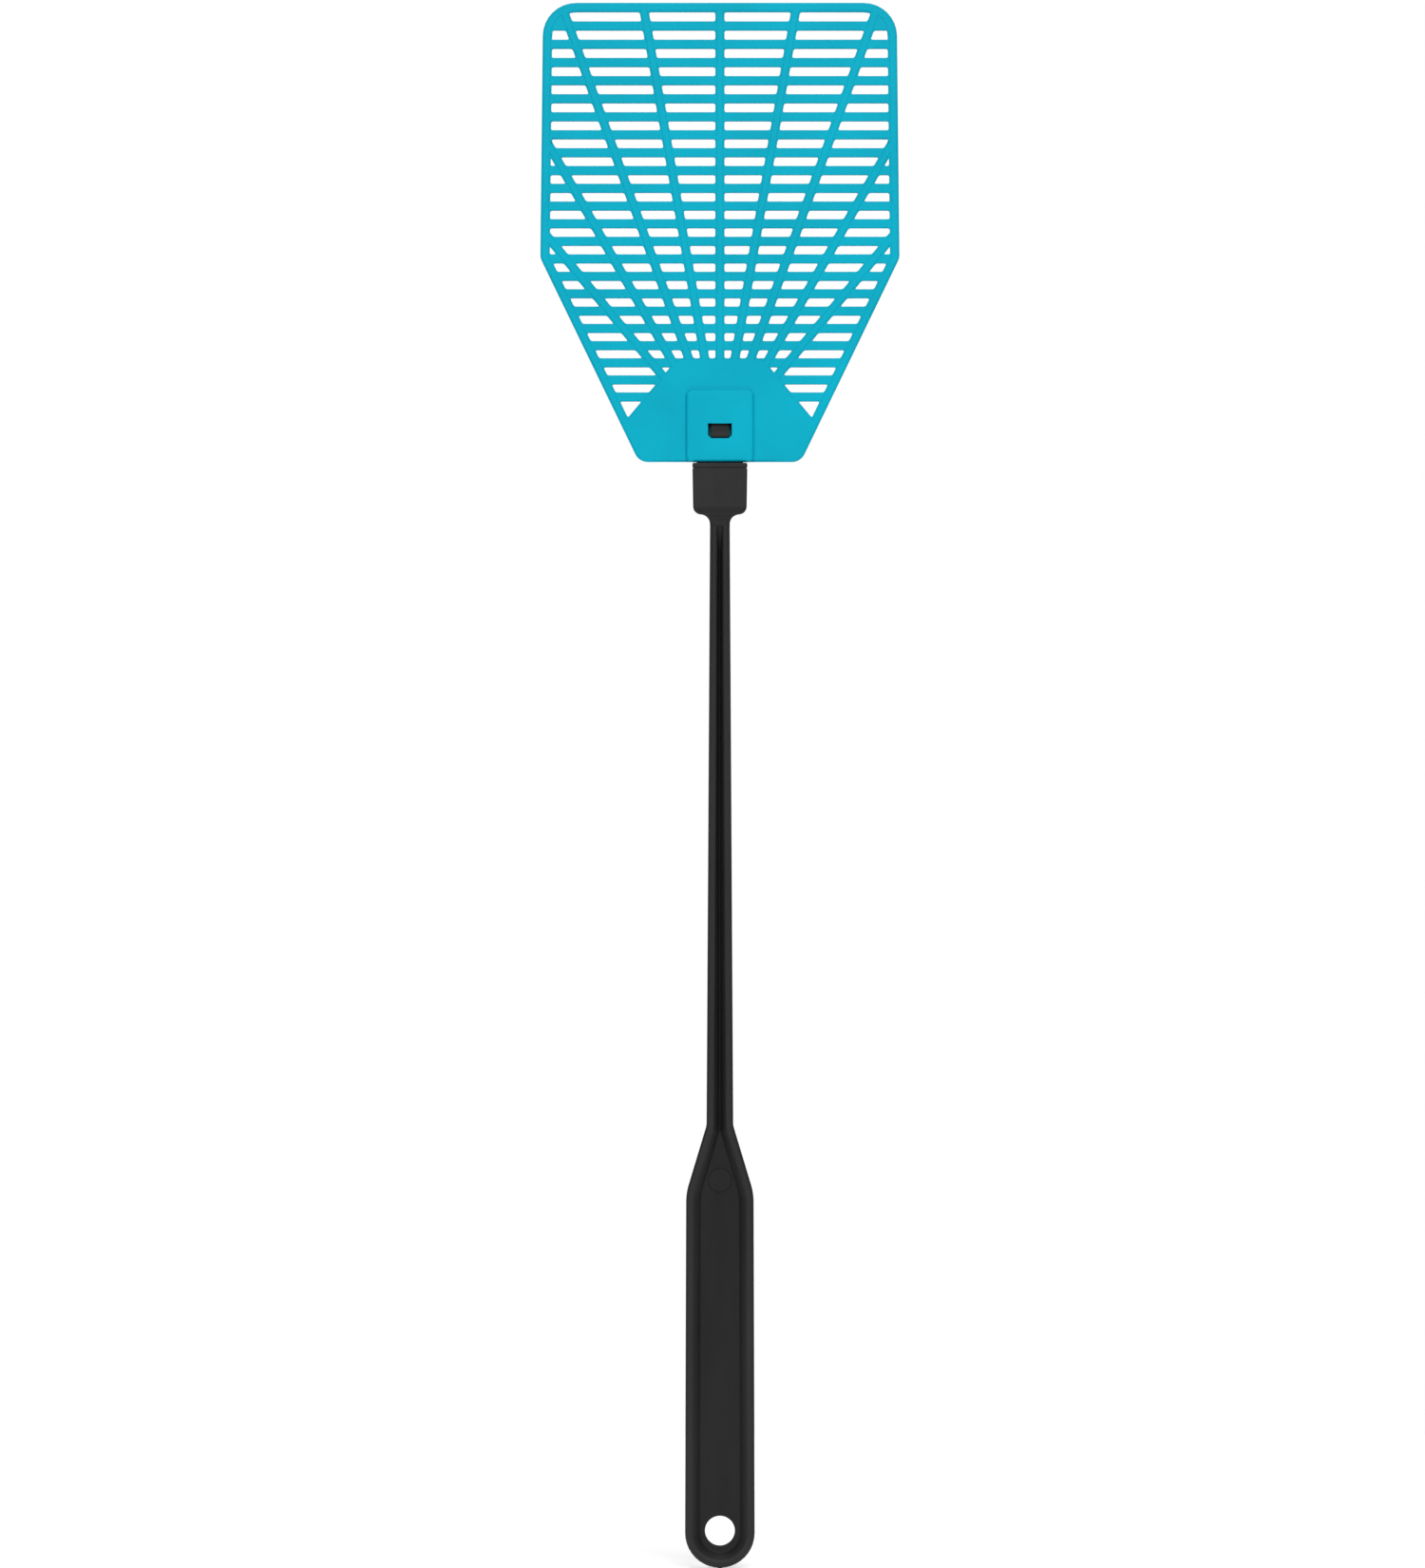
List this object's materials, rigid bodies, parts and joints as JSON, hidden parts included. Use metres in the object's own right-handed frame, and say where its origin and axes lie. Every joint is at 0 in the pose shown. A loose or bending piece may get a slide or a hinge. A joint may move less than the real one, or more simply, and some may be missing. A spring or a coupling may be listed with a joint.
{
  "type": "fly swatter",
  "caption": "Hand-held fly swatter: a springy slatted flap with fanned ribs, whose moulded pocket snaps onto the tongue of a slim grooved handle with a hanging hole.",
  "frame": {"origin": "middle of the grip's held length, on the handle's centreline, where the hand holds it", "axes": "+Z along the length from the grip towards the head, +X across the width, and the front face looks along -Y"},
  "size_m": [0.1022, 0.0062, 0.445],
  "materials": {
    "head_plastic": "satin, soft moulded polyethylene",
    "handle_plastic": "satin, stiff moulded polypropylene"
  },
  "bodies": {
    "handle": {"handle": "handle_plastic"},
    "latch": {"latch_catch": "handle_plastic"},
    "head": {"head_throat": "head_plastic"},
    "flap": {"head_lattice": "head_plastic"}
  },
  "joints": [
    {"name": "head_slide", "type": "slide", "parent": "handle", "child": "head", "axis": [0, 0, 1], "range_m": [0, 0.024], "deforming": ["latch_catch"]},
    {"name": "head_flex", "type": "hinge", "parent": "head", "child": "flap", "pos_m": [0, 0, 0.28921], "axis": [1, 0, 0], "range_deg": [-35, 35], "stiffness_Nm_per_rad": 0.3},
    {"name": "latch_press", "type": "hinge", "parent": "handle", "child": "latch", "pos_m": [0, -0.00055, 0.2734], "axis": [1, 0, 0], "range_deg": [0, 7], "stiffness_Nm_per_rad": 0.12}
  ]
}
